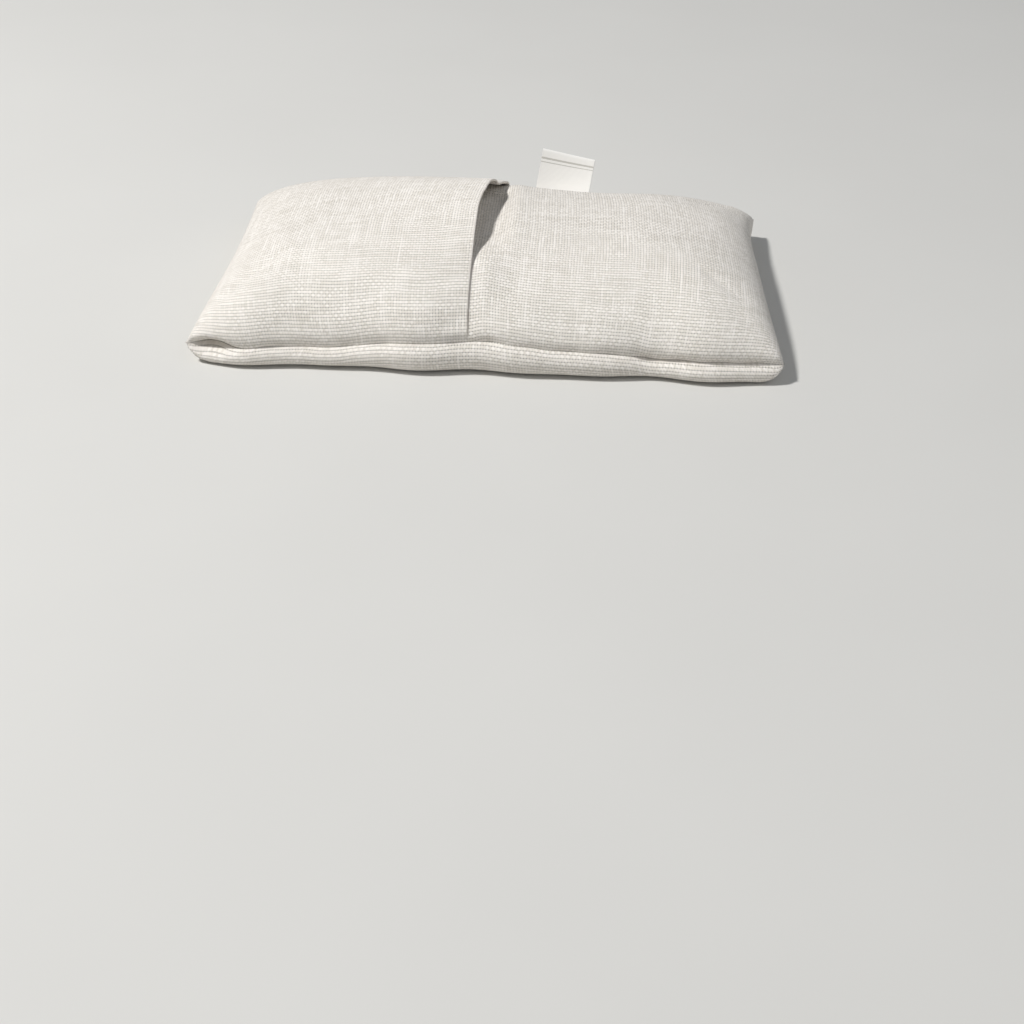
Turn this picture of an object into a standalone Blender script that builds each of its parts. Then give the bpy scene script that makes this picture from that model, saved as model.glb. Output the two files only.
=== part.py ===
"""A linen eye pillow: an envelope cover, a removable cotton pouch and its flaxseed filling.

The cover is one strip of linen that wraps round the pouch. Its two hemmed ends overlap in the
middle of the top, as an envelope does, and its long edges are sewn with the allowances turned in.
The frame is metres, +Z up. The origin is the middle of the underside, +X runs along the long
seams, and +Y points from the front seam to the back seam, where the label is sewn in.
"""
import math

import bmesh
import bpy
from mathutils import Matrix, Vector

# ---- driving dimensions (metres and degrees) ----
LENGTH = 0.210  # between the corner tips, along a long seam
WIDTH = 0.116  # between the corner tips, across the ends
HEIGHT = 0.031  # from the surface it lies on to the crown
SEAM_HEIGHT = 0.009  # height of the long seams above that surface
END_PINCH = 0.003  # how far each end is drawn in, half-way between its corners
SIDE_PINCH = 0.0015  # how far each long seam is drawn in, half-way along
BELLY = 0.018  # how deep the underside would hang if nothing flattened it
END_FULLNESS = 6.0  # higher holds the crown level for longer towards the ends
SIDE_FULLNESS = 3.0  # the same, towards the long seams

LINEN = 0.0006  # thickness of the cover's cloth
COTTON = 0.0004  # thickness of the pouch's cloth
FIT_GAP = 0.0003  # left between pieces that touch
LAYER_GAP = 0.0004  # left between one layer of the flaps and the next

FLAP_EDGE_X = -0.006  # free edge of the upper flap
FLAP_OVERLAP = 0.042  # how far the lower flap runs on under the upper one
HEM_WIDTH = 0.010  # of the turned hem on each flap's free edge
HEM_STEP = 0.0005  # over which a hem rises to its double thickness
FLAP_RAMP = 0.008  # over which the lower flap dips to pass under the upper one
UPPER_FLAP_LIFT = 10.0  # how far the upper flap opens, degrees

SEAM_ALLOWANCE = 0.008  # cloth turned in along each long seam
ALLOWANCE_END = 0.96  # share of the half length that it reaches, clear of the corners
POUCH_EASE = 0.004  # how much smaller the pouch is than the cover, all round
FILLING_GAP = 0.050  # opening in the pouch's right end, sewn up by hand
THREAD_RADIUS = 0.0002
SEED_EASE = 0.0014  # between the pouch's side walls and the filling, where the seam runs

LABEL_X = 0.0205  # middle of the label's foot
LABEL_WIDTH = 0.0215
LABEL_LENGTH = 0.0245  # on its long side
LABEL_SHORTER = 0.0035  # how much shorter its other side stands, because it leans
LABEL_LEAN = 8.0  # sideways, towards +X, degrees
LABEL_TILT = 15.0  # backwards from upright, degrees
RIBBON = 0.00035  # thickness of the label's ribbon
LABEL_LOOP = 0.0007  # radius inside the fold at the label's top

END_ROWS = 9
SEAM_ROWS = 3
CROSS_ROWS = 9

# ---- worked out from those ----
HINGE_GAP = END_PINCH * math.sin(math.radians(UPPER_FLAP_LIFT)) + FIT_GAP
TOP_RIM = SEAM_HEIGHT + HINGE_GAP
HINGE_X = LENGTH / 2 - END_PINCH
LOWER_FLAP_INSET = LINEN + FIT_GAP
LOWER_FLAP_DROP = 2 * LINEN + LAYER_GAP
POUCH_DROP = LOWER_FLAP_DROP + 2 * LINEN + LAYER_GAP
POUCH_LIFT = LINEN + FIT_GAP
SEED_INSET = POUCH_EASE + COTTON + SEED_EASE


# ---- the pillow's surfaces ----
def plan(s, t, inset):
    """Place on the pillow's outline plan: s runs from -1 to 1 along it, and t from front to back."""
    half_length = LENGTH / 2 - inset - END_PINCH * (1 - t * t)
    half_width = WIDTH / 2 - inset - SIDE_PINCH * (1 - s * s)
    return s * half_length, t * half_width


def bulge(s, t):
    """Share of its full depth that the filled pillow has at a place: 0 at the edges, 1 in the middle."""
    along = max(0.0, 1 - abs(s) ** END_FULLNESS)
    across = max(0.0, 1 - abs(t) ** SIDE_FULLNESS)
    return math.sqrt(along * across)


def top(s, t, inset=0.0, drop=0.0):
    x, y = plan(s, t, inset)
    return Vector((x, y, TOP_RIM + (HEIGHT - TOP_RIM - drop) * bulge(s, t)))


def underside(s, t, inset=0.0, lift=0.0):
    x, y = plan(s, t, inset)
    depth = min((BELLY - lift) * bulge(s, t), SEAM_HEIGHT - lift)
    return Vector((x, y, SEAM_HEIGHT - depth))


def at_x(x):
    return x / (LENGTH / 2)


def smooth(value):
    value = min(1.0, max(0.0, value))
    return value * value * (3 - 2 * value)


def from_edge(edge, inner, rows):
    """Stations from an edge inwards, close together where the cloth turns."""
    return [edge + (inner - edge) * (1 - math.cos(math.pi / 2 * i / rows)) for i in range(rows)]


# ---- stations shared by every layer, so that the layers run parallel ----
TONGUE = at_x(FLAP_EDGE_X - FLAP_OVERLAP)
TONGUE_HEM = at_x(FLAP_EDGE_X - FLAP_OVERLAP + HEM_WIDTH)
UPPER_HEM = at_x(FLAP_EDGE_X - HEM_WIDTH)
EDGE = at_x(FLAP_EDGE_X)
RAMP_END = at_x(FLAP_EDGE_X + FLAP_RAMP)
STEP = at_x(HEM_STEP)
MIDDLE_STATIONS = [
    TONGUE,
    TONGUE_HEM,
    TONGUE_HEM + STEP,
    (TONGUE_HEM + UPPER_HEM) / 2,
    UPPER_HEM - STEP,
    UPPER_HEM,
    EDGE,
    (EDGE + RAMP_END) / 2,
    RAMP_END,
]
ALONG = from_edge(-1.0, TONGUE, END_ROWS) + MIDDLE_STATIONS
ALONG += list(reversed(from_edge(1.0, RAMP_END, END_ROWS + 2)))


def allowance_station():
    """The t at which a strip that starts at the seam and lies down the underside has run its width."""
    layer = LINEN + FIT_GAP
    step = 0.001
    t = 1.0
    run = 0.0
    while run < SEAM_ALLOWANCE and t > step:
        here = underside(0, t, layer, layer)
        t -= step
        run += (underside(0, t, layer, layer) - here).length
    return t


TURNED_IN = allowance_station()
OUTER_ROWS = [
    TURNED_IN + (1 - TURNED_IN) * math.sin(math.pi / 2 * i / SEAM_ROWS)
    for i in range(SEAM_ROWS + 1)
]
ACROSS = [-t for t in reversed(OUTER_ROWS)]
ACROSS += [TURNED_IN * (2 * i / CROSS_ROWS - 1) for i in range(1, CROSS_ROWS)]
ACROSS += OUTER_ROWS


def dip(s):
    """How far the lower flap has gone down under the upper one: 0 beside it and 1 below it."""
    return smooth((RAMP_END - s) / (RAMP_END - EDGE))


def upper_hem(s):
    return LINEN * smooth((s - (UPPER_HEM - STEP)) / STEP)


def lower_hem(s):
    return LINEN * smooth((TONGUE_HEM + STEP - s) / STEP)


# ---- making objects ----
def colour(hex_code):
    """A linear colour from an sRGB hex code."""
    channels = [int(hex_code[i : i + 2], 16) / 255 for i in (1, 3, 5)]
    linear = [c / 12.92 if c <= 0.04045 else ((c + 0.055) / 1.055) ** 2.4 for c in channels]
    return (*linear, 1.0)


def material(name, hex_code, roughness):
    made = bpy.data.materials.new(name)
    made.use_nodes = True
    shader = made.node_tree.nodes["Principled BSDF"]
    shader.inputs["Base Color"].default_value = colour(hex_code)
    shader.inputs["Roughness"].default_value = roughness
    shader.inputs["Metallic"].default_value = 0.0
    made.diffuse_color = colour(hex_code)
    return made


def place(name, mesh, finish, pivot):
    """Puts a mesh made in the pillow's frame into the scene, with its origin on its joint's axis."""
    origin = Vector(pivot)
    mesh.transform(Matrix.Translation(-origin))
    mesh.materials.append(finish)
    piece = bpy.data.objects.new(name, mesh)
    piece.location = origin
    bpy.context.scene.collection.objects.link(piece)
    return piece


def closed_mesh(name, outer, inner):
    """A closed body between two grids of points of the same size, joined round their rims."""
    form = bmesh.new()
    layers = [[[form.verts.new(p) for p in row] for row in grid] for grid in (outer, inner)]
    rows, columns = len(outer), len(outer[0])
    for layer in layers:
        for i in range(rows - 1):
            for j in range(columns - 1):
                form.faces.new(
                    (layer[i][j], layer[i + 1][j], layer[i + 1][j + 1], layer[i][j + 1])
                )
    rim = [(i, 0) for i in range(rows)] + [(rows - 1, j) for j in range(1, columns)]
    rim += [(i, columns - 1) for i in range(rows - 2, -1, -1)]
    rim += [(0, j) for j in range(columns - 2, 0, -1)]
    for (i, j), (k, m) in zip(rim, rim[1:] + rim[:1]):
        form.faces.new((layers[0][i][j], layers[0][k][m], layers[1][k][m], layers[1][i][j]))
    bmesh.ops.recalc_face_normals(form, faces=form.faces)
    if form.calc_volume(signed=True) < 0:
        bmesh.ops.reverse_faces(form, faces=form.faces)
    bmesh.ops.triangulate(form, faces=form.faces)
    mesh = bpy.data.meshes.new(name)
    form.to_mesh(mesh)
    form.free()
    mesh.shade_smooth()
    mesh.set_sharp_from_angle(angle=math.radians(50))
    return mesh


def panel(name, finish, along, across, outer, inner, pivot=(0, 0, 0)):
    """A sheet of cloth: outer and inner give a point on each of its faces for s and t."""
    grids = [[[face(s, t) for t in across] for s in along] for face in (outer, inner)]
    return place(name, closed_mesh(name, *grids), finish, pivot)


def thread(name, finish, points, pivot=(0, 0, 0)):
    """A line of stitching: a thin round tube through the points."""
    origin = Vector(pivot)
    curve = bpy.data.curves.new(name, "CURVE")
    curve.dimensions = "3D"
    curve.bevel_depth = THREAD_RADIUS
    curve.bevel_resolution = 1
    curve.use_fill_caps = True
    line = curve.splines.new("POLY")
    line.points.add(len(points) - 1)
    for point, place_ in zip(line.points, points):
        point.co = (*(place_ - origin), 1.0)
    curve.materials.append(finish)
    piece = bpy.data.objects.new(name, curve)
    piece.location = origin
    bpy.context.scene.collection.objects.link(piece)
    return piece


# ---- the cover ----
def bottom_panel(linen):
    """The strip's middle: the underside, flat where it lies, and the lower half of both end folds."""
    return panel(
        "linen_bottom_panel",
        linen,
        ALONG,
        ACROSS,
        underside,
        lambda s, t: underside(s, t, LINEN, LINEN),
    )


def upper_flap(linen, pivot):
    """The strip's left end: the top of the left half, up to the hemmed edge that lies uppermost."""
    return panel(
        "upper_flap_panel",
        linen,
        [s for s in ALONG if s <= EDGE],
        ACROSS,
        top,
        lambda s, t: top(s, t, LINEN, LINEN + upper_hem(s)),
        pivot,
    )


def lower_flap(linen, pivot):
    """The strip's right end: the top of the right half and a hemmed tongue under the upper flap."""

    def outer(s, t):
        return top(s, t, LOWER_FLAP_INSET * dip(s), LOWER_FLAP_DROP * dip(s))

    def inner(s, t):
        inset = LOWER_FLAP_INSET * dip(s) + LINEN
        return top(s, t, inset, LOWER_FLAP_DROP * dip(s) + LINEN + lower_hem(s))

    stations = [s for s in ALONG if s >= TONGUE]
    return panel("lower_flap_panel", linen, stations, ACROSS, outer, inner, pivot)


def seam_allowance(name, linen, side):
    """Both layers' edges, turned in along a long seam and lying down the inside of the underside."""
    stations = [s for s in ALONG if abs(s) < ALLOWANCE_END]
    outer_layer = LINEN + FIT_GAP
    inner_layer = outer_layer + 2 * LINEN
    across = [side * t for t in OUTER_ROWS]
    return panel(
        name,
        linen,
        stations,
        across,
        lambda s, t: underside(s, t, outer_layer, outer_layer),
        lambda s, t: underside(s, t, inner_layer, inner_layer),
    )


def seam_thread(name, finish, side):
    """The stitching that joins the layers, just inside the folded edges of both flaps."""
    inset = LOWER_FLAP_INSET + LINEN + FIT_GAP + THREAD_RADIUS
    height = TOP_RIM - THREAD_RADIUS / 2
    points = []
    for s in ALONG[1:-1]:
        x, y = plan(s, side, inset)
        points.append(Vector((x, y, height)))
    return thread(name, finish, points)


def hem_thread(name, finish, s, layer, pivot):
    """The stitching that holds a hem, along its inner fold where it doesn't show."""
    inset, drop = layer
    points = [top(s, t, inset, drop) for t in ACROSS if abs(t) < TURNED_IN]
    return thread(name, finish, points, pivot)


# ---- the pouch and its filling ----
def pouch_top(cotton, pivot):
    return panel(
        "pouch_top_panel",
        cotton,
        ALONG,
        ACROSS,
        lambda s, t: top(s, t, POUCH_EASE, POUCH_DROP),
        lambda s, t: top(s, t, POUCH_EASE + COTTON, POUCH_DROP + COTTON),
        pivot,
    )


def pouch_bottom(cotton, pivot):
    return panel(
        "pouch_bottom_panel",
        cotton,
        ALONG,
        ACROSS,
        lambda s, t: underside(s, t, POUCH_EASE, POUCH_LIFT),
        lambda s, t: underside(s, t, POUCH_EASE + COTTON, POUCH_LIFT + COTTON),
        pivot,
    )


def pouch_seams(finish, pivot):
    """Machine stitching round the pouch, and hand stitching across the opening it was filled by."""
    inset = POUCH_EASE + COTTON + FIT_GAP + THREAD_RADIUS
    height = (SEAM_HEIGHT + TOP_RIM) / 2
    gap = FILLING_GAP / WIDTH
    corner = 0.999
    ends = [t for t in ACROSS if gap < abs(t) < corner]
    back = [gap] + [t for t in ends if t > 0]
    front = [t for t in ends if t < 0] + [-gap]
    sides = [s for s in ALONG if abs(s) < corner]
    ring = [(1.0, t) for t in back]
    ring += [(s, 1.0) for s in reversed(sides)]
    ring += [(-1.0, t) for t in reversed(ACROSS) if abs(t) < corner]
    ring += [(s, -1.0) for s in sides]
    ring += [(1.0, t) for t in front]
    closing_end = gap - (2 * THREAD_RADIUS + FIT_GAP) / (WIDTH / 2)
    inner = [t for t in ACROSS if abs(t) < closing_end]
    closing = [(1.0, t) for t in [-closing_end] + inner + [closing_end]]
    for name, path in (("pouch_seam_thread", ring), ("pouch_closing_stitch", closing)):
        points = [Vector((*plan(s, t, inset), height)) for s, t in path]
        thread(name, finish, points, pivot)


def filling(seed, pivot):
    """Flaxseed with a little dried lavender, as the one soft mass that it settles into."""
    top_drop = POUCH_DROP + COTTON + FIT_GAP
    bottom_lift = POUCH_LIFT + COTTON + FIT_GAP
    return panel(
        "flaxseed_filling",
        seed,
        ALONG,
        ACROSS,
        lambda s, t: top(s, t, SEED_INSET, top_drop),
        lambda s, t: underside(s, t, SEED_INSET, bottom_lift),
        pivot,
    )


# ---- the label ----
def label_profile(length):
    """Half-outline pairs of a ribbon folded in two: distance up the label, and out from its middle."""
    centre = length - LABEL_LOOP - RIBBON
    foot = FIT_GAP / 2
    outer = [(0.0, foot + RIBBON)]
    inner = [(0.0, foot)]
    steps = 6
    for i in range(steps + 1):
        angle = math.pi / 2 * i / steps
        rise, out = math.sin(angle), math.cos(angle)
        outer.append((centre + (LABEL_LOOP + RIBBON) * rise, (LABEL_LOOP + RIBBON) * out))
        inner.append((centre + LABEL_LOOP * rise, LABEL_LOOP * out))
    outer += [(up, -out) for up, out in reversed(outer[:-1])]
    inner += [(up, -out) for up, out in reversed(inner[:-1])]
    return outer, inner


def label(ribbon):
    """A short ribbon folded in two, with both ends sewn into the back seam. It leans and tilts."""
    foot_y = plan(at_x(LABEL_X), 1.0, 0.0)[1] + FIT_GAP + 2 * RIBBON
    pivot = Vector((LABEL_X, foot_y, SEAM_HEIGHT))
    tilt = math.radians(LABEL_TILT)
    lean = math.tan(math.radians(LABEL_LEAN))
    up = Vector((lean, math.sin(tilt), math.cos(tilt)))
    out = Vector((0.0, math.cos(tilt), -math.sin(tilt)))
    faces = []
    for across, length in ((-0.5, LABEL_LENGTH), (0.5, LABEL_LENGTH - LABEL_SHORTER)):
        foot = pivot + Vector((across * LABEL_WIDTH, 0.0, 0.0))
        faces.append([[foot + rise * up + o * out for rise, o in f] for f in label_profile(length)])
    outer, inner = ([faces[0][i], faces[1][i]] for i in (0, 1))
    return place("label_ribbon", closed_mesh("label_ribbon", outer, inner), ribbon, pivot)


# ---- the whole ----
def build():
    for old in list(bpy.data.objects):
        bpy.data.objects.remove(old, do_unlink=True)

    linen = material("washed_linen", "#DDD5C7", 0.92)
    cotton = material("cotton_muslin", "#EFEBE0", 0.9)
    sewing_thread = material("polyester_thread", "#D9D2C3", 0.6)
    ribbon = material("cotton_ribbon", "#F3EFE4", 0.75)
    seed = material("flaxseed", "#7A4F2B", 0.5)

    left_hinge = (-HINGE_X, 0.0, TOP_RIM)
    right_hinge = (HINGE_X, 0.0, TOP_RIM)
    slide = (0.0, 0.0, SEAM_HEIGHT)

    bottom_panel(linen)
    for side, end in ((-1, "front"), (1, "back")):
        seam_allowance(f"{end}_seam_allowance", linen, side)
        seam_thread(f"{end}_seam_thread", sewing_thread, side)

    upper_flap(linen, left_hinge)
    lower_flap(linen, right_hinge)
    beside = 2 * STEP
    between = (LINEN + LOWER_FLAP_INSET) / 2, (LINEN + LOWER_FLAP_DROP) / 2
    below = LOWER_FLAP_INSET + between[0], LOWER_FLAP_DROP + between[1]
    hem_thread(
        "upper_flap_hem_thread", sewing_thread, UPPER_HEM - STEP - beside, between, left_hinge
    )
    hem_thread(
        "lower_flap_hem_thread", sewing_thread, TONGUE_HEM + STEP + beside, below, right_hinge
    )

    label(ribbon)

    pouch_top(cotton, slide)
    pouch_bottom(cotton, slide)
    pouch_seams(sewing_thread, slide)
    filling(seed, slide)


build()
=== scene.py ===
# %% [markdown]
# # A linen eye pillow, in cells
# An eye pillow is a cloth envelope with a bag of seed in it. The outside is one strip of washed linen.
# It wraps round the bag, and its two hemmed ends overlap on top, so that the bag can be taken out.
# The solid model is loaded first. It fixes the size, the frame and everything that moves, and the
# cells below put real cloth round it. All lengths are in metres.

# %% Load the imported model
import math

import bmesh
import bpy
import numpy as np
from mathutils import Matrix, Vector


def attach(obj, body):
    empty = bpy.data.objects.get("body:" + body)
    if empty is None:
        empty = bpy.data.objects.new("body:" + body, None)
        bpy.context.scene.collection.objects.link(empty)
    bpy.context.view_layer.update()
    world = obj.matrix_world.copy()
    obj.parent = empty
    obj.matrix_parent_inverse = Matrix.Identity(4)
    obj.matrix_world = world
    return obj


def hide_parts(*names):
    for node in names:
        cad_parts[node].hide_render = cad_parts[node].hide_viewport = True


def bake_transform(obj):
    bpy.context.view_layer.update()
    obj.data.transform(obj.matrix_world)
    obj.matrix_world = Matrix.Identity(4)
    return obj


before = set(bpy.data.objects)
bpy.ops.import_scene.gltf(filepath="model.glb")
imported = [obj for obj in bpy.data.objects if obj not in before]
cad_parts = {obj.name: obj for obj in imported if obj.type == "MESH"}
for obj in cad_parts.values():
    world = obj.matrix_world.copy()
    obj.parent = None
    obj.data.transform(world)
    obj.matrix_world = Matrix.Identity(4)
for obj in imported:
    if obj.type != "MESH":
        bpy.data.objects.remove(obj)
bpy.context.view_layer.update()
MM = 0.001

# %% [markdown]
# ## Floor, camera and light
# Linen is pale and rough, so it shows its weave only when the light comes from one side.
# A small round lamp stands high on the left as the key, and a wide weak one on the right fills the
# shadows. The floor is plain pale board. The camera is a longish lens that looks down from the front.

# %% Floor and camera
CAMERA_PLACE = (0.0465, -0.5580, 0.3007)
CAMERA_TURN = math.radians(4.16)  # to the left of straight ahead
CAMERA_DROP = math.radians(35.65)  # below the horizon
CAMERA_LENS = 58.3  # millimetres
SENSOR = 36.0  # millimetres
FLOOR_SIZE = 20.0


def into_scene(made):
    bpy.context.scene.collection.objects.link(made)
    return made


floor_mesh = bpy.data.meshes.new("floor")
rim = [(x * FLOOR_SIZE / 2, y * FLOOR_SIZE / 2, 0.0) for x, y in ((-1, -1), (1, -1), (1, 1), (-1, 1))]
floor_mesh.from_pydata(rim, [], [(0, 1, 2, 3)])
floor = into_scene(bpy.data.objects.new("floor", floor_mesh))

lens = bpy.data.cameras.new("camera")
lens.lens = CAMERA_LENS
lens.sensor_width = SENSOR
lens.clip_start = 0.01
camera = into_scene(bpy.data.objects.new("camera", lens))
camera.location = CAMERA_PLACE
camera.rotation_euler = (math.pi / 2 - CAMERA_DROP, 0.0, CAMERA_TURN)
bpy.context.scene.camera = camera

# %% Lights
LIT = (0.0, 0.0, 0.015)  # the middle of the pillow, which every lamp looks at


def soft_lamp(name, place, width, power, tint):
    data = bpy.data.lights.new(name, "AREA")
    data.shape = "DISK"
    data.size = width
    data.energy = power
    data.color = tint
    lamp = into_scene(bpy.data.objects.new(name, data))
    lamp.location = place
    lamp.rotation_euler = (Vector(LIT) - Vector(place)).to_track_quat("-Z", "Y").to_euler()
    return lamp


soft_lamp("key_lamp", (-0.90, -0.25, 1.45), 0.20, 25.8, (1.0, 0.99, 0.98))
soft_lamp("fill_lamp", (1.30, -0.50, 1.50), 1.60, 3.2, (0.94, 0.97, 1.0))

world = bpy.data.worlds.new("studio")
world.use_nodes = True
world.node_tree.nodes["Background"].inputs["Color"].default_value = (0.92, 0.95, 1.0, 1.0)
world.node_tree.nodes["Background"].inputs["Strength"].default_value = 0.27
bpy.context.scene.world = world
bpy.context.scene.view_settings.view_transform = "Standard"

# %% [markdown]
# ## The shape of the filled cover
# Seed fills a bag the way sand does: the underside lies flat, the top stands up quickly from the
# seams and is nearly level in the middle. The two long seams run as soft waves, because the seed
# pushes them up in one place and lets them sink in another. The cells below write that shape as two
# surfaces, top and underside, each for s from -1 to 1 along the pillow and t from -1 to 1 from
# front to back.

# %% Small helpers for soft shapes
def ease(value):
    """0 up to 0, 1 from 1 on, and a smooth slope between them."""
    value = np.clip(value, 0.0, 1.0)
    return value * value * (3 - 2 * value)


def hill(x, middle, left, right):
    """A smooth hill of height 1, with its own half-width on each side."""
    reach = np.where(x < middle, left, right)
    return np.exp(-(((x - middle) / reach) ** 2))


def mix(a, b, share):
    return a + (b - a) * share


# %% Outline, seam heights and crown
LEFT_END, RIGHT_END = 0.1002, 0.0989  # from the middle to each end fold, half-way between the seams
FRONT_SEAM, BACK_SEAM = -0.0568, 0.0562  # where the long seams run
FRONT_SEAM_UP, BACK_SEAM_UP = 0.0069, 0.0090  # how high they lie before the seed pushes them up
LEFT_CROWN, RIGHT_CROWN = 0.0318, 0.0292


def half_length(s, t):
    """From the middle to each end fold: the front is wider than the back, and both ends pull in."""
    left = LEFT_END + 0.0040 * t * t - 0.0018 * t
    right = RIGHT_END - 0.0029 * t + 0.0030 * t * t - 0.0014 * hill(t, 0.62, 0.40, 0.22)
    return np.where(s < 0, left, right)


def front_seam_height(x):
    rise = 0.0048 * hill(x, -0.010, 0.036, 0.055)
    wave = 0.0003 * np.sin(x / 0.0061 + 0.8) + 0.0008 * ease((x - 0.085) / 0.018)
    return FRONT_SEAM_UP + rise + wave - 0.0010 * hill(x, 0.058, 0.004, 0.008)


def back_seam_height(x):
    rise = 0.0014 * hill(x, -0.040, 0.030, 0.030)
    return BACK_SEAM_UP + rise - 0.0012 * hill(x, 0.055, 0.025, 0.030)


def front_seam_place(x):
    wave = 0.0007 * np.cos(x / 0.0085) + 0.0005 * np.cos(x / 0.0052 + 1.1)
    return FRONT_SEAM + wave - 0.0012 * ease((abs(x) - 0.060) / 0.045)


def back_seam_place(x):
    wave = 0.0006 * np.cos(x / 0.0098 + 0.6)
    return BACK_SEAM + wave + 0.0008 * ease((-x - 0.055) / 0.045)


def crown_height(x, y):
    """The left half is fuller than the right, and the step between them lies under the flap's edge."""
    swell = 0.0032 * hill(x, -0.030, 0.036, 0.036) * mix(0.4, 1.0, ease((y + 0.030) / 0.055))
    left = LEFT_CROWN + swell
    right = RIGHT_CROWN + 0.0010 * ease((x - 0.035) / 0.035)
    return mix(left, right, ease((x + 0.010) / 0.022))


def outline(s, t):
    x = s * half_length(s, t)
    y = mix(front_seam_place(x), back_seam_place(x), (t + 1) / 2)
    z = mix(front_seam_height(x), back_seam_height(x), (t + 1) / 2)
    return x, y, z


LEFT_FULLNESS, RIGHT_FULLNESS = 6.0, 7.0  # higher holds the crown level for longer towards the ends
SIDE_FULLNESS = 3.0  # the same, towards the long seams


def top_point(s, t):
    x, y, z = outline(s, t)
    along = np.clip(1 - np.abs(s) ** np.where(s < 0, LEFT_FULLNESS, RIGHT_FULLNESS), 0, 1)
    across = np.clip(1 - np.abs(t) ** SIDE_FULLNESS, 0, 1)
    crown = crown_height(x, y)
    return np.stack([x, y, z + (crown - z) * np.sqrt(along * across)], -1)


# %% [markdown]
# ## The roll along each long seam
# The underside's cloth is longer than it needs to be. Where it comes up to the seam it bellies out and
# makes a soft roll, so the seam lies in a crease above it. The roll is part of an ellipse,
# from the crease, over its outermost line and down to where the pillow touches the surface.

# %% Underside
ROLL_DEPTH = 0.0058  # from the roll's middle to its outermost line
ROLL_TOP = 0.0006  # how far the roll stands up above the crease
END_ROLL = 0.009  # length over which an end fold comes down to the surface
ROLL_SHARE = 0.16  # of t, at each side
END_SHARPNESS = 10  # higher keeps the roll full for longer towards the ends


def underside_point(s, t):
    """t within ROLL_SHARE of -1 or 1 runs round the roll, and the rest is flat."""
    turn = np.clip((1 - np.abs(t)) / ROLL_SHARE, 0, 1)
    flat = np.clip(np.abs(t) / (1 - ROLL_SHARE), 0, 1)
    x = outline(s, np.sign(t) * mix(1.0, 0.93, turn) * np.where(turn < 1, 1, flat))[0]
    _, seam_y, seam_z = outline(s, np.sign(t))
    ends = np.clip(1 - np.abs(s) ** END_SHARPNESS, 0, 1)
    tall = (seam_z + ROLL_TOP) / 2
    start = np.arcsin(np.clip((seam_z - tall) / tall, -1, 1))
    angle = mix(start, -math.pi / 2, turn)
    depth = ROLL_DEPTH * ends
    roll_y = np.abs(seam_y) + depth * (np.cos(angle) - np.cos(start))
    roll_z = tall * (1 + np.sin(angle))
    side = np.where(t < 0, -1.0, 1.0)
    y = np.where(turn < 1, side * roll_y, side * flat * (np.abs(seam_y) - depth * np.cos(start)))
    from_end = (1 - np.abs(s)) * half_length(s, t)
    down = np.sqrt(np.clip(1 - (1 - np.clip(from_end / END_ROLL, 0, 1)) ** 2, 0, 1))
    z = mix(outline(s, t)[2], np.where(turn < 1, roll_z, 0.0), down)
    return np.stack([x, y, z], -1)


# %% [markdown]
# ## From a surface to cloth
# A simulation needs cloth of even mesh, so the surfaces are sampled again at even distances along
# the cloth. The strip goes once round: along the top from the left fold to the right fold, and back
# along the underside. Its flat size is the size that it was cut to, 0.441 by 0.132 m between seams.

# %% Sample both surfaces evenly
ALONG_CELLS = 88
ACROSS_CELLS = 50
CLOTH_WIDTH = 0.132  # the strip between its two seams
TOP_LENGTH = 0.225  # from the left fold to the right fold, over the top
UNDER_LENGTH = 0.216


def even_out(points, count, axis):
    """The same surface with count + 1 rows that are evenly far apart along the axis."""
    points = np.moveaxis(points, axis, 0)
    steps = np.linalg.norm(np.diff(points, axis=0), axis=-1)
    run = np.concatenate([np.zeros((1, points.shape[1])), np.cumsum(steps, axis=0)])
    wanted = np.linspace(0, 1, count + 1)
    made = np.empty((count + 1, points.shape[1], 3))
    for column in range(points.shape[1]):
        share = run[:, column] / run[-1, column]
        for k in range(3):
            made[:, column, k] = np.interp(wanted, share, points[:, column, k])
    return np.moveaxis(made, 0, axis)


plain = np.linspace(-1, 1, 401)
crowded = np.sin(plain * math.pi / 2)  # closer together towards both ends, where the cloth turns
s_grid, t_grid = np.meshgrid(crowded, plain, indexing="ij")
t_top = np.meshgrid(crowded, crowded, indexing="ij")[1]
top_cloth = even_out(even_out(top_point(s_grid, t_top), ACROSS_CELLS, 1), ALONG_CELLS, 0)
under_cloth = even_out(even_out(underside_point(s_grid, t_grid), ACROSS_CELLS, 1), ALONG_CELLS, 0)


def run_length(line):
    return np.linalg.norm(np.diff(line, axis=0), axis=-1).sum()


middle = ACROSS_CELLS // 2, ALONG_CELLS // 2
print("top, mm: along the middle", round(run_length(top_cloth[:, middle[0]]) / MM, 1),
      "along a seam", round(run_length(top_cloth[:, 0]) / MM, 1),
      "across", round(run_length(top_cloth[middle[1]]) / MM, 1))
print("underside, mm: along the middle", round(run_length(under_cloth[:, middle[0]]) / MM, 1),
      "across", round(run_length(under_cloth[middle[1]]) / MM, 1))
wrap = np.concatenate([top_cloth, under_cloth[::-1][1:-1]])  # once round the pillow
LOOP = len(wrap)
print("cloth mesh:", LOOP, "by", ACROSS_CELLS + 1)

# %% [markdown]
# ## Cloth simulation
# The analytic shape is too smooth to be cloth. Real linen doesn't stretch, so where it is asked to curve
# two ways at once it gathers into small folds, most of all at the corners. The simulation gets
# the filled shape as its start and the flat cut as its rest shape, so those folds come by themselves.
# The seams and the flat underside are held, a little air pressure stands for the seed, and
# no point may move further than a few millimetres.

# %% Rest shape and simulation
REST_RADIUS = 0.010
FRAMES = 24
PRESSURE = 14.0
MOST_MOVED = 0.0045
LYING = 0.0004  # cloth lower than this lies on the surface and is held


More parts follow.
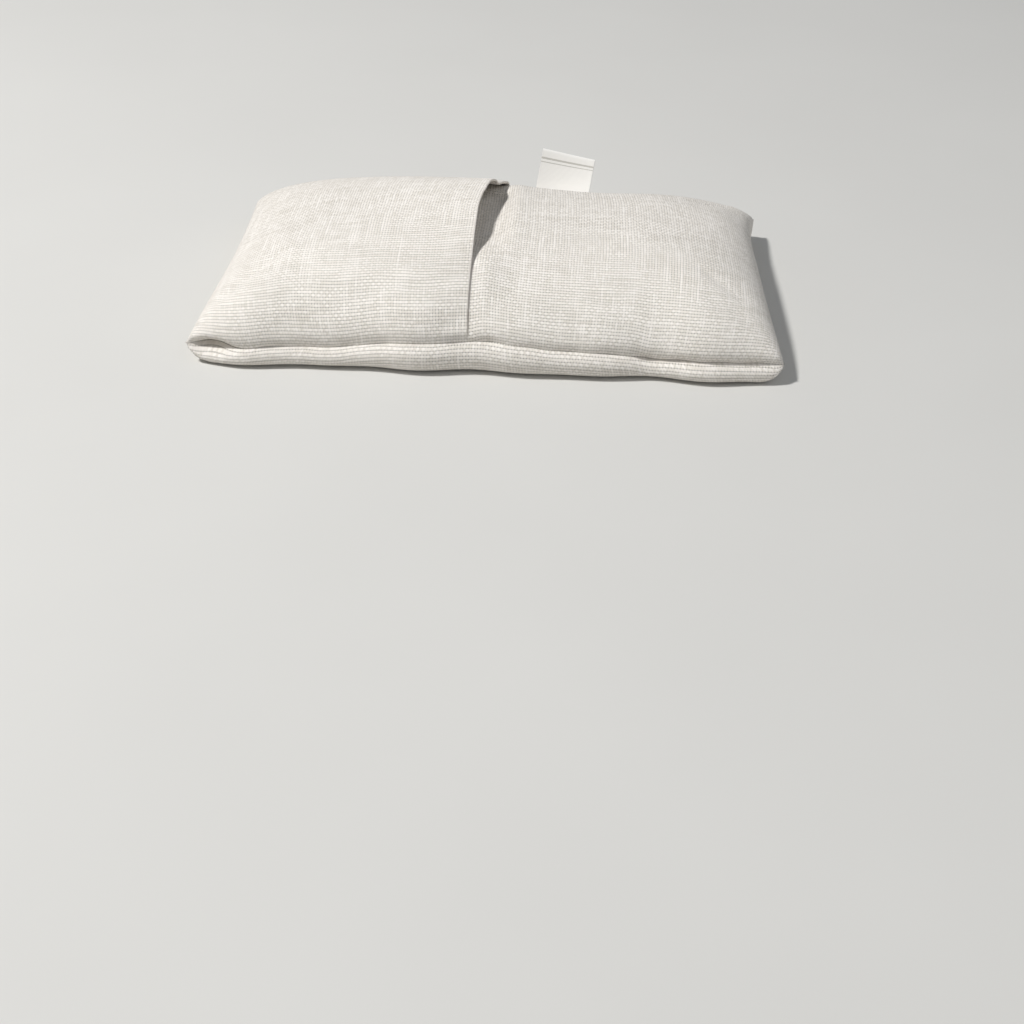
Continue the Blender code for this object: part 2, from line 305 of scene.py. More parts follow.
def rest_shape():
    """The strip as cut, bent only into a flat ring so that its two ends meet."""
    girth = TOP_LENGTH + UNDER_LENGTH
    straight = (girth - 2 * math.pi * REST_RADIUS) / 2
    quarter = math.pi * REST_RADIUS / 2
    u = np.concatenate([np.linspace(0, TOP_LENGTH, ALONG_CELLS + 1),
                        TOP_LENGTH + np.linspace(0, UNDER_LENGTH, ALONG_CELLS + 1)[1:-1]])
    u = (u + girth) % girth
    places = []
    for run in u:
        if run < quarter:
            turn = run / REST_RADIUS
            x, z = -math.cos(turn), math.sin(turn)
            places.append((-straight / 2 + REST_RADIUS * x, REST_RADIUS * z))
        elif run < quarter + straight:
            places.append((-straight / 2 + run - quarter, REST_RADIUS))
        elif run < 3 * quarter + straight:
            turn = (run - quarter - straight) / REST_RADIUS
            places.append((straight / 2 + REST_RADIUS * math.sin(turn), REST_RADIUS * math.cos(turn)))
        elif run < 3 * quarter + 2 * straight:
            places.append((straight / 2 - (run - 3 * quarter - straight), -REST_RADIUS))
        else:
            turn = (run - 3 * quarter - 2 * straight) / REST_RADIUS
            places.append((-straight / 2 - REST_RADIUS * math.sin(turn), -REST_RADIUS * math.cos(turn)))
    v = np.linspace(-CLOTH_WIDTH / 2, CLOTH_WIDTH / 2, ACROSS_CELLS + 1)
    places = np.array(places)
    made = np.empty((LOOP, ACROSS_CELLS + 1, 3))
    made[..., 0], made[..., 2] = places[:, None, 0], places[:, None, 1]
    made[..., 1] = v[None, :]
    return made


def loop_faces(rows, columns):
    faces = []
    for k in range(rows):
        for j in range(columns - 1):
            here, after = k * columns + j, ((k + 1) % rows) * columns + j
            faces.append((here, after, after + 1, here + 1))
    return faces


def settle(points):
    """The points after the cloth has settled under pressure, towards its flat cut."""
    columns = points.shape[1]
    mesh = bpy.data.meshes.new("settling_cloth")
    mesh.from_pydata(points.reshape(-1, 3).tolist(), [], loop_faces(LOOP, columns))
    cloth = into_scene(bpy.data.objects.new("settling_cloth", mesh))
    cloth.shape_key_add(name="start")
    cut = cloth.shape_key_add(name="cut")
    cut.data.foreach_set("co", rest_shape().reshape(-1).astype(np.float32))
    held = cloth.vertex_groups.new(name="held")
    low = points[..., 2] < LYING
    for k in range(LOOP):
        for j in range(columns):
            seam = j in (0, columns - 1)
            held.add([k * columns + j], 1.0 if seam or low[k, j] else 0.0, "REPLACE")
    maker = cloth.modifiers.new("cloth", "CLOTH")
    how = maker.settings
    how.quality = 8
    how.mass = 0.001  # of one mesh point
    how.air_damping = 1.0
    how.tension_stiffness = 15
    how.compression_stiffness = 15
    how.shear_stiffness = 5
    how.bending_stiffness = 0.01
    how.tension_damping = how.compression_damping = how.shear_damping = 5
    how.bending_damping = 0.5
    how.vertex_group_mass = "held"
    how.rest_shape_key = cut
    how.use_pressure = True
    how.uniform_pressure_force = PRESSURE
    how.effector_weights.gravity = 0.0
    maker.collision_settings.use_collision = False
    maker.collision_settings.use_self_collision = False
    maker.point_cache.frame_start = 1
    maker.point_cache.frame_end = FRAMES
    for step in range(1, FRAMES + 1):
        bpy.context.scene.frame_set(step)
    settled = cloth.evaluated_get(bpy.context.evaluated_depsgraph_get()).to_mesh()
    moved = np.empty(len(settled.vertices) * 3)
    settled.vertices.foreach_get("co", moved)
    cloth.evaluated_get(bpy.context.evaluated_depsgraph_get()).to_mesh_clear()
    bpy.data.objects.remove(cloth, do_unlink=True)
    bpy.context.scene.frame_set(1)
    return moved.reshape(points.shape)


settled = settle(wrap)
shift = settled - wrap
far = np.linalg.norm(shift, axis=-1, keepdims=True)
print("cloth moved, mm: most", round(far.max() / MM, 2), "mean", round(far.mean() / MM, 2))
shift *= np.minimum(1.0, MOST_MOVED / np.maximum(far, 1e-9))
wrap = wrap + shift

# %% [markdown]
# ## Reading the cloth anywhere
# The simulated mesh is coarse, at 2.5 mm. Smooth curves through its points give the surface and its
# direction anywhere on the strip. So every piece below can have its own finer rows, with one
# exactly on its hem, and the pieces still meet without a step.

# %% Smooth surface through the settled points
TOP_CELL = TOP_LENGTH / ALONG_CELLS
UNDER_CELL = UNDER_LENGTH / ALONG_CELLS
ACROSS_CELL = CLOTH_WIDTH / ACROSS_CELLS


def between(grid, at, closed):
    """Rows between the rows of a grid, on smooth curves through them."""
    count = len(grid)
    base = np.floor(at).astype(int)
    if closed:
        a, b, c, d = (grid[(base + k) % count] for k in (-1, 0, 1, 2))
    else:
        base = np.clip(base, 0, count - 2)
        longer = np.concatenate([2 * grid[:1] - grid[1:2], grid, 2 * grid[-1:] - grid[-2:-1]])
        a, b, c, d = (longer[base + k] for k in (0, 1, 2, 3))
    part = (at - base)[:, None, None]
    return b + part / 2 * (c - a + part * (2 * a - 5 * b + 4 * c - d + part * (3 * (b - c) + d - a)))


def cloth_at(u, v):
    """Points at u metres along the strip, from the left fold, and v metres across from the front seam."""
    rows = np.where(u <= TOP_LENGTH, u / TOP_CELL, ALONG_CELLS + (u - TOP_LENGTH) / UNDER_CELL)
    grid = between(wrap, rows, True)
    grid = np.moveaxis(between(np.moveaxis(grid, 1, 0), v / ACROSS_CELL, False), 0, 1)
    return drawn_in(grid, np.minimum(v, CLOTH_WIDTH - v)[None, :], np.where(v < CLOTH_WIDTH / 2, 1.0, -1.0))


TUCK_X = -0.0960  # of the small tuck at the front left corner
KINK_X = 0.051  # from here to the right the front seam is drawn in deeper


def drawn_in(grid, from_seam, inward):
    """The stitches pull each seam in to a crease; at the front left corner it opens into a tuck."""
    x = grid[..., 0]
    tuck = hill(x, TUCK_X, 0.0060, 0.0060)
    front = 0.9 + 5.4 * tuck + 1.0 * ease((x - KINK_X) / 0.006) + 0.25 * np.sin(x / 0.0021)
    depth = MM * np.where(inward > 0, front, 0.9 + 0.25 * np.sin(x / 0.0023))
    reach = MM * (1.7 + 0.4 * tuck)
    made = grid.copy()
    made[..., 1] += inward * depth * np.exp(-((from_seam / reach) ** 2))
    made[..., 2] += np.where(made[..., 2] > 0.008, ripples(made[..., 0], made[..., 1]), 0.0)
    made[..., 2] = np.maximum(made[..., 2], 0.0)
    return made


def ripples(x, y):
    """Low folds that washing and handling leave on the top: long ones above the front seam."""
    first = hill(y, -0.0452 + 0.10 * (x + 0.085), 0.0013, 0.0019) * hill(x, -0.060, 0.026, 0.024)
    second = hill(y, -0.0400 + 0.06 * (x + 0.070), 0.0020, 0.0028) * hill(x, -0.045, 0.030, 0.036)
    third = hill(y, 0.010 - 0.15 * x, 0.0035, 0.0045) * hill(x, 0.060, 0.022, 0.020)
    fourth = hill(x, -0.093 + 0.10 * y, 0.0016, 0.0024) * hill(y, -0.010, 0.030, 0.034)
    return MM * (0.32 * first + 0.30 * second + 0.20 * third + 0.30 * fourth)


def unit(facing):
    return facing / np.maximum(np.linalg.norm(facing, axis=-1, keepdims=True), 1e-12)


def softened(field):
    """Each value averaged with its neighbours, which steadies directions at the corner tips."""
    for axis in (0, 1):
        pad = [(1, 1) if k == axis else (0, 0) for k in range(3)]
        wide = np.pad(field, pad, mode="edge")
        count = field.shape[axis]
        field = sum(np.take(wide, range(k, k + count), axis=axis) for k in range(3)) / 3
    return field


def outwards(grid):
    """The direction that the outer side of a grid of points faces."""
    return unit(softened(np.cross(np.gradient(grid, axis=0), np.gradient(grid, axis=1))))


def cloth_facing(u, v):
    """The direction that faces out of the pillow at u along the strip and v across it."""
    step = 0.4 * MM
    ahead = cloth_at(u + step, v) - cloth_at(u - step, v)
    return unit(softened(np.cross(ahead, np.gradient(cloth_at(u, v), axis=1))))


def run_at(x):
    """How far along the strip the top reaches x, half-way between the seams."""
    return float(np.interp(x, wrap[: ALONG_CELLS + 1, ACROSS_CELLS // 2, 0],
                           np.linspace(0, TOP_LENGTH, ALONG_CELLS + 1)))


EDGE_X = -0.0061  # free edge of the upper flap
OVERLAP = 0.042  # of the lower flap, under the upper one
UPPER_END = run_at(EDGE_X)
LOWER_END = run_at(EDGE_X - OVERLAP)
print("upper flap, mm:", round(UPPER_END / MM, 1), "lower flap, mm:",
      round((TOP_LENGTH - LOWER_END) / MM, 1))

# %% [markdown]
# ## Turning a grid into cloth
# Each piece of cloth is a thin closed shell: an outer grid, an inner grid one cloth's thickness
# below it, and a narrow rim that joins them. The map of the flat cut goes with it, in metres, so
# that the weave keeps its real size and follows every fold. The shading directions are
# worked out before a piece is divided, so that the division doesn't show.

# %% Shell builder
LINEN_THICKNESS = 0.5 * MM


def shell(name, outer, inner, runs, across, finish, keep=(slice(None), slice(None))):
    """A closed shell between two grids, with a flat map. keep cuts out the part that is wanted."""
    facing = np.stack([outwards(outer), -outwards(inner)])[(slice(None), *keep)]
    points = np.stack([outer, inner])[(slice(None), *keep)]
    flat_map = np.stack(np.broadcast_arrays(runs[:, None], across[None, :]), -1)[keep]
    _, rows, columns, _ = points.shape
    number = np.arange(2 * rows * columns).reshape(2, rows, columns)
    out, back = number
    faces = np.stack([out[:-1, :-1], out[1:, :-1], out[1:, 1:], out[:-1, 1:]], -1).reshape(-1, 4)
    faces_in = np.stack([back[:-1, :-1], back[:-1, 1:], back[1:, 1:], back[1:, :-1]], -1).reshape(-1, 4)
    edge = [(i, 0) for i in range(rows)] + [(rows - 1, j) for j in range(1, columns)]
    edge += [(i, columns - 1) for i in range(rows - 2, -1, -1)] + [(0, j) for j in range(columns - 2, 0, -1)]
    edge = np.array(edge)
    after = np.roll(edge, -1, axis=0)
    i, j, k, m = edge[:, 0], edge[:, 1], after[:, 0], after[:, 1]
    rim_faces = np.stack([out[k, m], out[i, j], back[i, j], back[k, m]], -1)
    mesh = bpy.data.meshes.new(name)
    mesh.from_pydata(points.reshape(-1, 3).tolist(), [],
                     np.concatenate([faces, faces_in, rim_faces]).tolist())
    flat_map = np.stack([flat_map, flat_map]).reshape(-1, 2)
    layer = mesh.uv_layers.new(name="cut")
    corners = np.empty(len(mesh.loops), dtype=np.int32)
    mesh.loops.foreach_get("vertex_index", corners)
    layer.data.foreach_set("uv", flat_map[corners].reshape(-1).astype(np.float32))
    mesh.shade_smooth()
    mesh.normals_split_custom_set_from_vertices(facing.reshape(-1, 3).tolist())
    mesh.materials.append(finish)
    return into_scene(bpy.data.objects.new(name, mesh))


def evenly(start, end, step):
    return np.linspace(start, end, max(2, int(round(abs(end - start) / step)) + 1))


# %% [markdown]
# ## Node helper and colours
# Every finish below is built from nodes by a few small functions. The main one adds a node, sets it
# up, links it and gives back its first output. Colours are written as sRGB hex codes and turned to
# the linear values that Blender works in.

# %% Node helper
MATH, VECTOR, MAP, NOISE, MIX = (
    "ShaderNodeMath", "ShaderNodeVectorMath", "ShaderNodeMapRange", "ShaderNodeTexNoise", "ShaderNodeMix")


def linear(code):
    channels = [int(code[k : k + 2], 16) / 255 for k in (1, 3, 5)]
    return (*[c / 12.92 if c <= 0.04045 else ((c + 0.055) / 1.055) ** 2.4 for c in channels], 1.0)


def put(finish, kind, inputs, **settings):
    """Adds a node to a material and returns its first output."""
    made = finish.node_tree.nodes.new(kind)
    for key, value in settings.items():
        setattr(made, key, value)
    for key, value in inputs.items():
        if isinstance(value, bpy.types.NodeSocket):
            finish.node_tree.links.new(value, made.inputs[key])
        else:
            made.inputs[key].default_value = value
    return made.outputs[0]


def new_finish(name, roughness, preview):
    """A material, and the shader node that gives it its surface."""
    finish = bpy.data.materials.new(name)
    finish.use_nodes = True
    finish.node_tree.nodes["Principled BSDF"].inputs["Roughness"].default_value = roughness
    finish.diffuse_color = linear(preview)
    return finish, finish.node_tree.nodes["Principled BSDF"]


def dress(finish, shader, colour, height, distance, strength):
    """Gives a material its colour, and a relief of the height times the distance."""
    relief = put(finish, "ShaderNodeBump", {"Height": height, "Distance": distance, "Strength": strength})
    finish.node_tree.links.new(colour, shader.inputs["Base Color"])
    finish.node_tree.links.new(relief, shader.inputs["Normal"])


# %% [markdown]
# ## Washed linen
# Linen is spun from flax fibres that are never quite even, so its threads have thick places (slubs)
# and thin ones, and a plain weave of it shows small holes between threads, dark with shade. It is matt, with
# a faint bloom of loose fibres. Warp threads run one way and weft threads the other, and each
# goes over one and under the next. The nodes work out the height of both threads at every
# place and keep the higher one. Where there is neither, there is a gap, and its shade is painted dark.

# %% Plain weave
def plain_weave(finish, map_name, pitch_along, pitch_across, half_width, wander):
    """Height of the weave, from 0 to 1, and the tone of whichever thread is on top."""
    place = put(finish, "ShaderNodeUVMap", {}, uv_map=map_name)
    stray = put(finish, NOISE, {"Vector": place, "Scale": 55.0, "Detail": 2.0}).node.outputs["Color"]
    stray = put(finish, VECTOR, {0: stray, 1: (0.5, 0.5, 0.5)}, operation="SUBTRACT")
    stray = put(finish, VECTOR, {0: stray, 1: (wander, wander, 0.0)}, operation="MULTIPLY")
    place = put(finish, VECTOR, {0: place, 1: stray}, operation="ADD")
    counted = put(finish, VECTOR, {0: place, 1: (1 / pitch_along, 1 / pitch_across, 0.0)},
                  operation="MULTIPLY")
    whole = put(finish, VECTOR, {0: counted}, operation="FLOOR")
    number = put(finish, "ShaderNodeSeparateXYZ", {0: whole}).node.outputs
    exact = put(finish, "ShaderNodeSeparateXYZ", {0: counted}).node.outputs
    heights, tones = [], []
    for own, other, sign in ((0, 1, 1.0), (1, 0, -1.0)):
        # Thickness and tone change slowly along a thread, and at once from one thread to the next.
        spread = (37.3, 0.055, 1.0) if own == 0 else (0.055, 41.7, 1.0)
        mixed = put(finish, "ShaderNodeCombineXYZ", {own: number[own], other: exact[other], 2: 3.0 * own})
        spot = put(finish, VECTOR, {0: mixed, 1: spread}, operation="MULTIPLY")
        tone = put(finish, NOISE, {"Vector": spot, "Scale": 1.0, "Detail": 2.0})
        tones.append(tone)
        width = put(finish, MAP, {0: tone, 1: 0.25, 2: 0.75, 3: half_width * 0.90, 4: half_width * 1.08})
        off = put(finish, MATH, {0: exact[own], 1: number[own]}, operation="SUBTRACT")
        off = put(finish, MATH, {0: off, 1: 0.5}, operation="SUBTRACT")
        off = put(finish, MATH, {0: off, 1: width}, operation="DIVIDE")
        round_off = put(finish, MATH, {0: off, 1: 2.0}, operation="POWER")
        round_off = put(finish, MATH, {0: 1.0, 1: round_off}, operation="SUBTRACT")
        there = put(finish, MATH, {0: round_off, 1: 0.0}, operation="GREATER_THAN")
        round_off = put(finish, MATH, {0: round_off, 1: 0.0}, operation="MAXIMUM")
        round_off = put(finish, MATH, {0: round_off, 1: 0.5}, operation="POWER")
        phase = put(finish, MATH, {0: exact[other], 1: number[own]}, operation="ADD")
        phase = put(finish, MATH, {0: phase, 1: math.pi}, operation="MULTIPLY")
        swing = put(finish, MATH, {0: phase}, operation="SINE")
        swing = put(finish, MATH, {0: swing, 1: 0.22 * sign, 2: 0.30}, operation="MULTIPLY_ADD")
        height = put(finish, MATH, {0: round_off, 1: 0.48, 2: swing}, operation="MULTIPLY_ADD")
        heights.append(put(finish, MATH, {0: height, 1: there}, operation="MULTIPLY"))
    upper = put(finish, MATH, {0: heights[0], 1: heights[1]}, operation="MAXIMUM")
    first = put(finish, MATH, {0: heights[0], 1: heights[1]}, operation="GREATER_THAN")
    tone = put(finish, MIX, {0: first, 2: tones[1], 3: tones[0]})
    # Each crossing differs a little from its neighbours, and the warp is a shade darker than the weft.
    crossing = put(finish, "ShaderNodeTexWhiteNoise", {"Vector": whole}, noise_dimensions="2D")
    tone = put(finish, MATH, {0: crossing, 1: 0.24, 2: tone}, operation="MULTIPLY_ADD")
    tone = put(finish, MATH, {0: first, 1: -0.16, 2: tone}, operation="MULTIPLY_ADD")
    return upper, put(finish, MATH, {0: tone, 1: 0.04}, operation="SUBTRACT")


def woven_colour(finish, height, tone, light, dark, painted_hole_shade, map_name):
    """Thread colour by its tone, with painted shade in the gaps and low down between the threads, and wide
    faint blotches that are partly stain-like tone and partly painted wrinkle shade.
    """
    share = put(finish, MAP, {0: tone, 1: 0.32, 2: 0.68})
    colour = put(finish, MIX, {0: share, 6: linear(dark), 7: linear(light)},
                 data_type="RGBA").node.outputs[2]
    # Painted shade: the colour goes towards the dark gap colour where the weave lies low.
    depth = put(finish, MAP, {0: height, 1: 0.06, 2: 0.62})
    colour = put(finish, MIX, {0: depth, 6: linear(painted_hole_shade), 7: colour}, data_type="RGBA").node.outputs[2]
    place = put(finish, "ShaderNodeUVMap", {}, uv_map=map_name)
    # Wide faint blotches: partly stain-like tone of the cloth and partly painted shade of soft wrinkles.
    blotch_and_wrinkle_shade = put(finish, NOISE, {"Vector": place, "Scale": 22.0, "Detail": 3.0})
    blotch_and_wrinkle_shade = put(finish, MAP, {0: blotch_and_wrinkle_shade, 1: 0.3, 2: 0.7, 3: 0.965, 4: 1.02})
    return put(finish, MIX, {0: 1.0, 6: colour, 7: blotch_and_wrinkle_shade}, data_type="RGBA",
               blend_type="MULTIPLY").node.outputs[2]


# %% Linen finish
LINEN_PITCH_ALONG = 1.02 * MM  # between warp threads; 0.8 mm on the real cloth, drawn coarser to show
LINEN_PITCH_ACROSS = 1.20 * MM  # between weft threads; 1.0 mm on the real cloth

linen, shader = new_finish("washed_linen_plain_weave", 0.92, "#DDD5C7")
height, tone = plain_weave(linen, "cut", LINEN_PITCH_ALONG, LINEN_PITCH_ACROSS, 0.385, 0.0010)
# The last colour is the painted shade in the weave's gaps and low down between threads.
colour = woven_colour(linen, height, tone, "#F6F1EA", "#E0DAD0", "#1E1913", "cut")
dress(linen, shader, colour, height, 0.22 * MM, 0.6)
shader.inputs["Sheen Weight"].default_value = 0.12
shader.inputs["Sheen Roughness"].default_value = 0.6
shader.inputs["Specular IOR Level"].default_value = 0.25
print("linen nodes:", len(linen.node_tree.nodes))

# %% [markdown]
# ## The underside
# The middle of the strip is the underside, with the lower half of both end folds and the rolls that
# come up to the seams. It is one piece that never moves, so it rides on the cover.

# %% Cover underside
FINE = 1.25 * MM
across = evenly(0, CLOTH_WIDTH, FINE)
one_row = FINE


def cloth_shell(name, rows_out, rows_in, runs, sink_out, sink_in, change, columns, keep, finish):
    """A sheet whose two faces lie sink_out and sink_in under the pillow's surface, then changed."""
    grids = []
    for rows, sink in ((rows_out, sink_out), (rows_in, sink_in)):
        grid = cloth_at(rows, columns) - cloth_facing(rows, columns) * sink[:, None, None]
        grids.append(change(grid, rows))
    return shell(name, *grids, runs, columns, finish, keep)


def crumpled(grid):
    """Small unevenness that washed linen keeps: shallow waves some 8 to 20 mm long."""
    x, y = grid[..., 0], grid[..., 1]
    wave = np.sin(x / 0.0047 + 2.1 * np.sin(y / 0.011)) * np.sin(y / 0.0061 + 1.7 * np.sin(x / 0.016))
    wave += 0.7 * np.sin(x / 0.0105 + y / 0.0079 + 1.3)
    return wave


rows = evenly(TOP_LENGTH - one_row, TOP_LENGTH + UNDER_LENGTH + one_row, FINE)
level = np.zeros(len(rows))
underside = cloth_shell("cover_underside", rows, rows, rows, level, level + LINEN_THICKNESS,
                        lambda grid, run: grid, across, (slice(1, -1), slice(None)), linen)
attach(underside, "cover")
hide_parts("linen_bottom_panel")

# %% [markdown]
# ## The upper flap
# The strip's left end makes the top of the left half. Its free edge is turned under once by 10 mm and
# stitched, so it is a soft fold of double cloth. It is sewn down only at the two seams.
# Between them it gapes: the middle of the edge stands up off the lower flap by a few
# millimetres, and its back half is pulled a little to the right. It is built as a front and a back half.

# %% Upper flap
HEM = 0.010
HEM_ROUND = 0.55 * MM
GAPE = 3.8 * MM
GAPE_REACH = 0.050


def edge_lift(y):
    return ease((y + 0.037) / 0.032) * ease((0.0375 - y) / 0.0190)


def edge_swing(y):
    back = np.clip((y + 0.004) / 0.041, 0.0, 1.1) ** 1.6
    return 0.0074 * back * ease((0.0600 - y) / 0.0150)


def upper_change(grid, run):
    from_edge = np.maximum(UPPER_END - run, 0.0)[:, None]
    y = grid[..., 1]
    near = np.clip(1 - from_edge / GAPE_REACH, 0, 1) ** 1.6
    made = grid.copy()
    made[..., 2] += GAPE * edge_lift(y) * near
    made[..., 0] += edge_swing(y) * np.exp(-((from_edge / 0.030) ** 2))
    return made


def folded_rows(start, end, turn_radius, hem):
    """Rows from start to a hemmed end: where each lies, its run along the cloth, and its sink."""
    way = 1.0 if end > start else -1.0
    flat = evenly(start, end - way * turn_radius, FINE)
    angles = np.linspace(0, math.pi, 9)[1:-1]
    back = evenly(end - way * turn_radius, end - way * hem, FINE)
    place = np.concatenate([flat, end - way * turn_radius * (1 - np.sin(angles)), back])
    sink = np.concatenate([0 * flat, turn_radius * (1 - np.cos(angles)), 0 * back + 2 * turn_radius])
    inner = turn_radius - LINEN_THICKNESS
    place_in = np.concatenate([flat, end - way * (turn_radius - inner * np.sin(angles)), back])
    sink_in = np.concatenate([0 * flat + LINEN_THICKNESS, turn_radius - inner * np.cos(angles),
                              0 * back + turn_radius + inner])
    run = np.concatenate([flat, end + way * turn_radius * angles / 2, end + way * np.abs(back - end)])
    return place, sink, place_in, sink_in, run


half = len(across) // 2
FRONT, BACK = slice(0, half + 1), slice(half, None)


def flap(side, rows_set, wanted, change):
    """Both halves of a flap, the front one and the back one, built from the same rows."""
    place, sink, place_in, sink_in, run = rows_set
    for part, columns, sign in (("front", FRONT, -1), ("back", BACK, 1)):
        piece = cloth_shell(f"{side}_flap_{part}", place, place_in, run, sink, sink_in, change, across,
                            (wanted, columns), linen)
        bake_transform(piece)
        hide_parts(f"{side}_flap_panel")


upper_rows = folded_rows(-one_row, UPPER_END, HEM_ROUND, HEM)
flap("upper", upper_rows, slice(1, None), upper_change)

# %% [markdown]
# ## The lower flap
# The strip's right end makes the top of the right half and runs on under the upper flap as a tongue,
# 42 mm long, with the same hem. It dips as it goes under, and where the upper flap gapes
# it sags into the opening, which makes the dark pocket between the two.

# %% Lower flap
TUCKED = 2 * HEM_ROUND + 0.15 * MM  # how far the tongue lies under the surface
SAG = 5.0 * MM
DIP_LENGTH = 0.006
RISE = 2.0 * MM  # at the back, where the tongue comes up under the upper flap's corner


def pocket(x, y):
    """1 where the opening is deepest, under the middle of the upper flap's edge."""
    across_it = ease((0.0080 - x) / 0.0085) * ease((x + 0.060) / 0.030)
    return across_it * ease((y + 0.032) / 0.028) * ease((0.0430 - y) / 0.018)


def lower_change(grid, run):
    x, y = grid[..., 0], grid[..., 1]
    swing = edge_swing(y)
    under = ease((UPPER_END + swing + DIP_LENGTH - run[:, None]) / DIP_LENGTH)
    made = grid.copy()
    made[..., 2] -= TUCKED * under + SAG * pocket(x, y)
    made[..., 2] += RISE * hill(x, 0.004, 0.006, 0.024) * hill(y, 0.045, 0.012, 0.010)
    return made


lower_rows = [row[::-1] for row in folded_rows(TOP_LENGTH + one_row, LOWER_END, HEM_ROUND, HEM)]
flap("lower", lower_rows, slice(None, -1), lower_change)
print("tongue reaches x, mm:", round((EDGE_X - OVERLAP) / MM, 1))

# %% [markdown]
# ## Seams
# Each long seam joins every layer, and then the cover is turned right side out, so the raw edges lie
# inside it, 8 mm deep. The stitches pull the seam into a crease. They are made as a row of
# short bent threads, each a little tube that dives in at both ends, as on a real lockstitch.

# %% Seam allowances
ALLOWANCE = 0.008
CLEAR_OF_CORNER = 0.006
ALLOWANCE_STEP = 1.5 * MM
ALLOWANCE_THICKNESS = 2.4 * LINEN_THICKNESS  # two layers of linen that don't lie quite flat


def seam_line(end):
    """Points along a long seam, on the cover's surface, and how far along the strip each is."""
    rows = evenly(CLEAR_OF_CORNER, TOP_LENGTH - CLEAR_OF_CORNER, FINE)
    column = np.array([0.0, CLOTH_WIDTH])
    return rows, cloth_at(rows, column)[:, 0 if end == "front" else 1]


def seam_allowance(end):
    inward = 1.0 if end == "front" else -1.0
    rows, line = seam_line(end)
    deep = evenly(0.4 * MM, ALLOWANCE, ALLOWANCE_STEP)
    grid = line[:, None, :] + np.zeros((1, len(deep), 3))
    grid[..., 1] += inward * deep[None, :]
    grid[..., 2] += 0.6 * MM - 0.10 * deep[None, :]
    lower = grid.copy()
    lower[..., 2] -= ALLOWANCE_THICKNESS
    order = slice(None) if end == "front" else slice(None, None, -1)
    piece = shell(f"{end}_allowance", grid[:, order], lower[:, order], rows, deep[order], linen)
    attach(piece, "cover")
    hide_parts(f"{end}_seam_allowance")
    return piece


allowances = [seam_allowance(end) for end in ("front", "back")]

# %% Polyester sewing thread
sewing_thread, shader = new_finish("polyester_sewing_thread_twisted", 0.55, "#D9D2C3")
turns = put(sewing_thread, "ShaderNodeTexWave", {"Scale": 900.0, "Distortion": 0.4},
            bands_direction="DIAGONAL")
# Painted shade: the thread is darker in the low bands of its twist.
shade = put(sewing_thread, MIX, {0: turns, 6: linear("#C4BBAA"), 7: linear("#E2DCCF")},
            data_type="RGBA").node.outputs[2]
dress(sewing_thread, shader, shade, turns, 0.05 * MM, 0.5)

# %% A row of stitches
THREAD_RADIUS = 0.16 * MM
SIDES = 6  # of the little tube
BENDS = 6  # points along it


def stitches(name, line, outward, pitch, length, finish):
    """Short threads along a line of points, each arched a little outwards and buried at both ends."""
    steps = np.linalg.norm(np.diff(line, axis=0), axis=1)
    run = np.concatenate([[0.0], np.cumsum(steps)])
    count = int(run[-1] / pitch)
    ring = np.linspace(0, 2 * math.pi, SIDES, endpoint=False)
    points, faces = [], []
    for n in range(count):
        start = n * pitch + (run[-1] - count * pitch) / 2
        at = start + np.linspace(0, length, BENDS)
        path = np.stack([np.interp(at, run, line[:, k]) for k in range(3)], 1)
        out = unit(np.array([np.interp(at, run, outward[:, k]) for k in range(3)]).T)
        arch = np.sin(np.linspace(0, math.pi, BENDS))
        path = path + out * ((arch - 0.55) * 1.6 * THREAD_RADIUS)[:, None]
        ahead = unit(np.gradient(path, axis=0))
        side = unit(np.cross(ahead, out))
        up = np.cross(side, ahead)
        width = THREAD_RADIUS * (0.55 + 0.45 * arch)
        tube = (path[:, None] + width[:, None, None] * (np.cos(ring)[None, :, None] * side[:, None]
                                                     + np.sin(ring)[None, :, None] * up[:, None]))
        first = len(points)
        points += tube.reshape(-1, 3).tolist()
        for i in range(BENDS - 1):
            for k in range(SIDES):
                a, b = first + i * SIDES + k, first + i * SIDES + (k + 1) % SIDES
                faces.append((a, a + SIDES, b + SIDES, b))
        faces.append(tuple(range(first, first + SIDES)))
        faces.append(tuple(range(first + BENDS * SIDES - 1, first + (BENDS - 1) * SIDES - 1, -1)))
    mesh = bpy.data.meshes.new(name)
    mesh.from_pydata(points, [], faces)
    mesh.shade_smooth()
    mesh.materials.append(finish)
    print(name, count, "stitches")
    return into_scene(bpy.data.objects.new(name, mesh))


STITCH_PITCH = 2.6 * MM
STITCH_LENGTH = 2.1 * MM
for end, sign in (("front", -1.0), ("back", 1.0)):
    _, line = seam_line(end)
    recessed = line + np.array([0.0, -sign * 0.25 * MM, 0.0])
    outward = np.tile([0.0, sign, 0.0], (len(line), 1))
    row = stitches(f"{end}_seam_stitches", recessed, outward, STITCH_PITCH, STITCH_LENGTH, sewing_thread)
    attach(row, "cover")
    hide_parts(f"{end}_seam_thread")

# %% [markdown]
# ## Hem stitches
# The hems are sewn on their under side and the stitches catch only a thread of the top layer, so
# they don't show from above. They are seen when the flaps are lifted.

# %% Stitches under both hems
HEM_STITCH = 0.0086  # from the folded edge
HEM_STITCH_PITCH = 3.2 * MM
HEM_STITCH_LENGTH = 2.2 * MM


